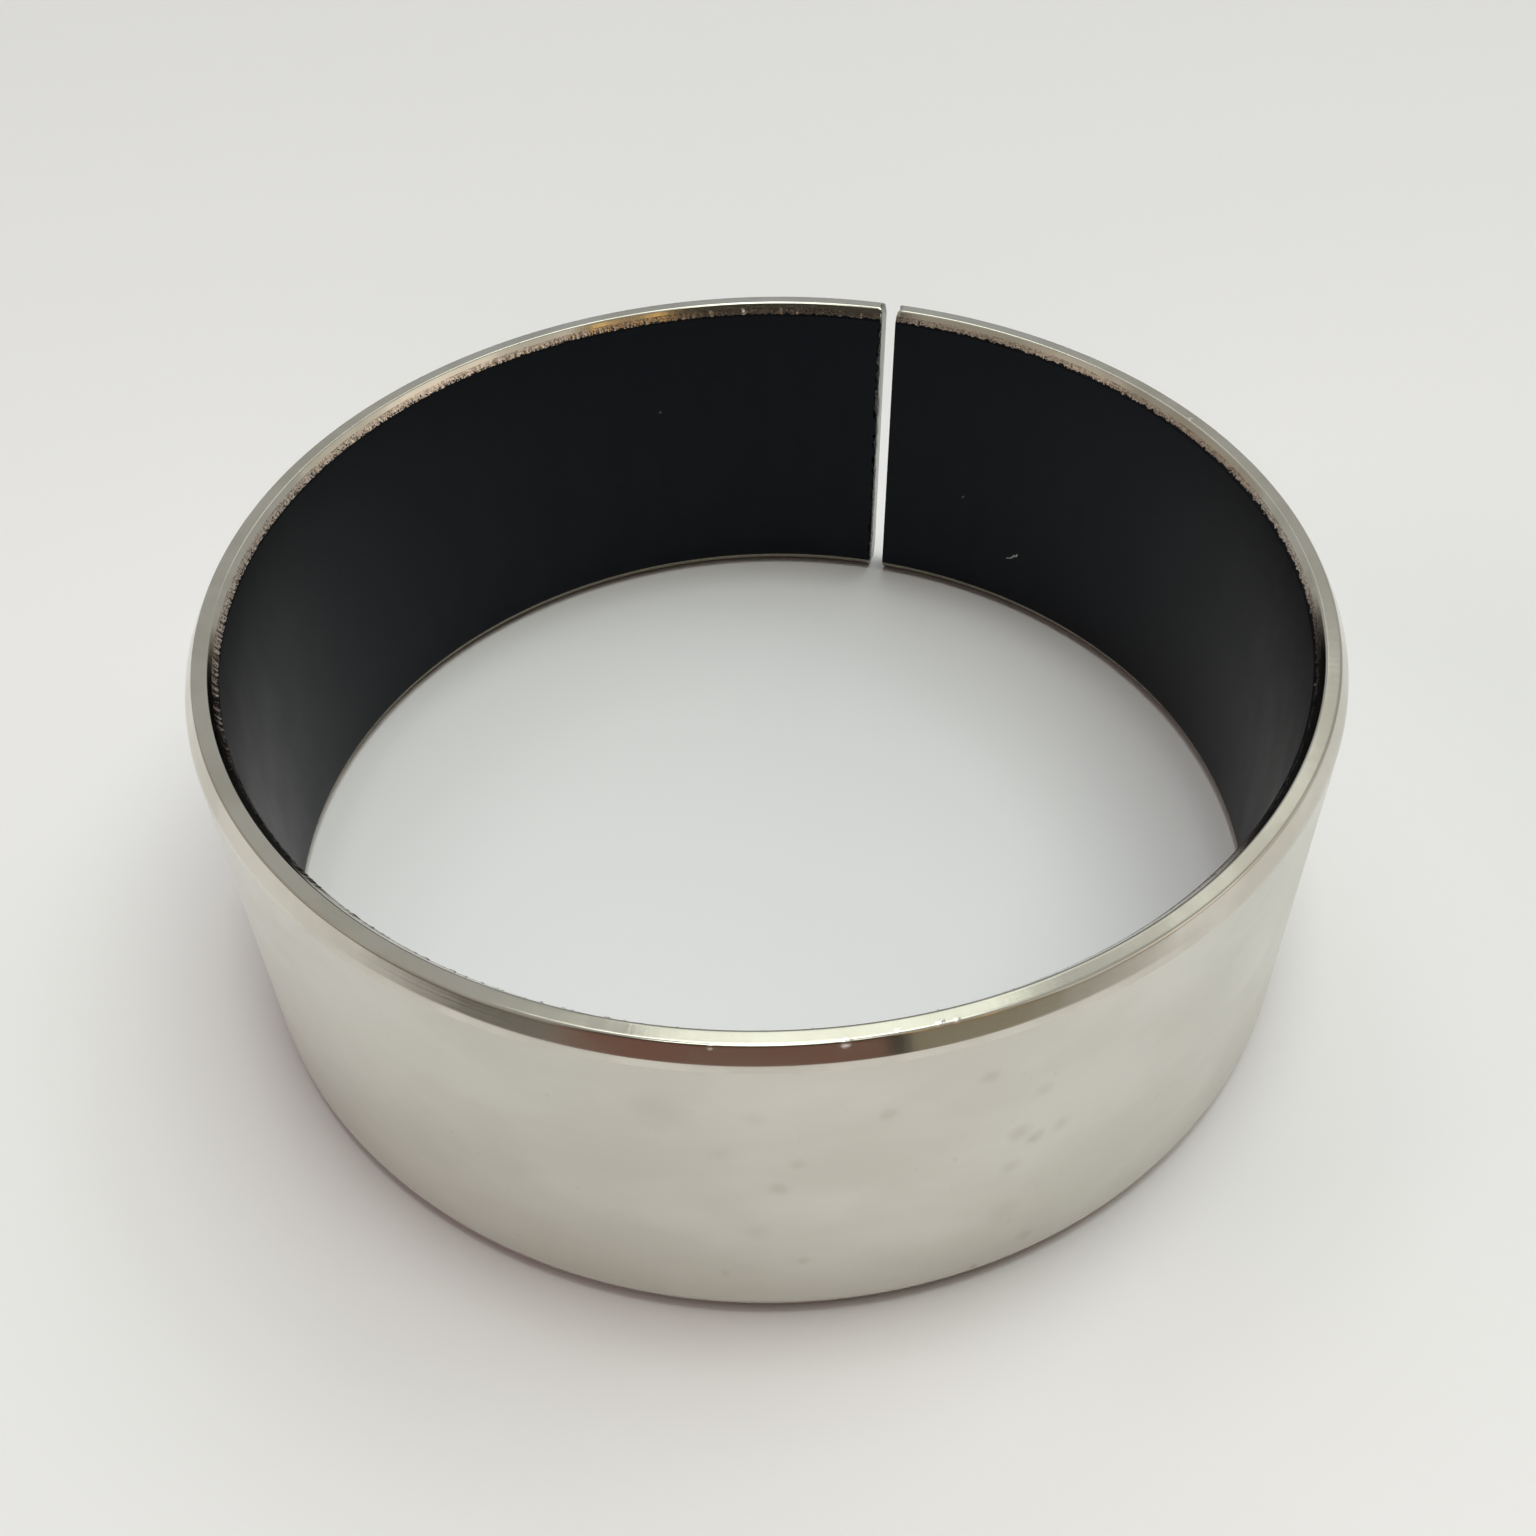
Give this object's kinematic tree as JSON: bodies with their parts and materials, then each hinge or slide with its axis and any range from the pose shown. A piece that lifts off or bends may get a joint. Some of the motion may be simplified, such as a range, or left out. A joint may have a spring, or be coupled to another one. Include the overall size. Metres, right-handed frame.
{
  "type": "bushing",
  "caption": "Split plain bush rolled from steel strip, with a bronze interlayer, a black low-friction bore and chamfered ends, to carry a turning or sliding shaft in a housing.",
  "frame": {"origin": "centre of the lower end face, on the axis", "axes": "+Z along the axis, from the lower end face to the upper; the open joint is on the +Y side"},
  "size_m": [0.085, 0.085, 0.03],
  "materials": {
    "tinned_steel": "tin-plated, satin",
    "sintered_bronze": "porous, matt, cut by the chamfers",
    "black_polymer": "rolled, matt"
  },
  "bodies": {
    "root": {"steel_backing": "tinned_steel", "bronze_layer": "sintered_bronze", "bearing_lining": "black_polymer"}
  },
  "joints": []
}
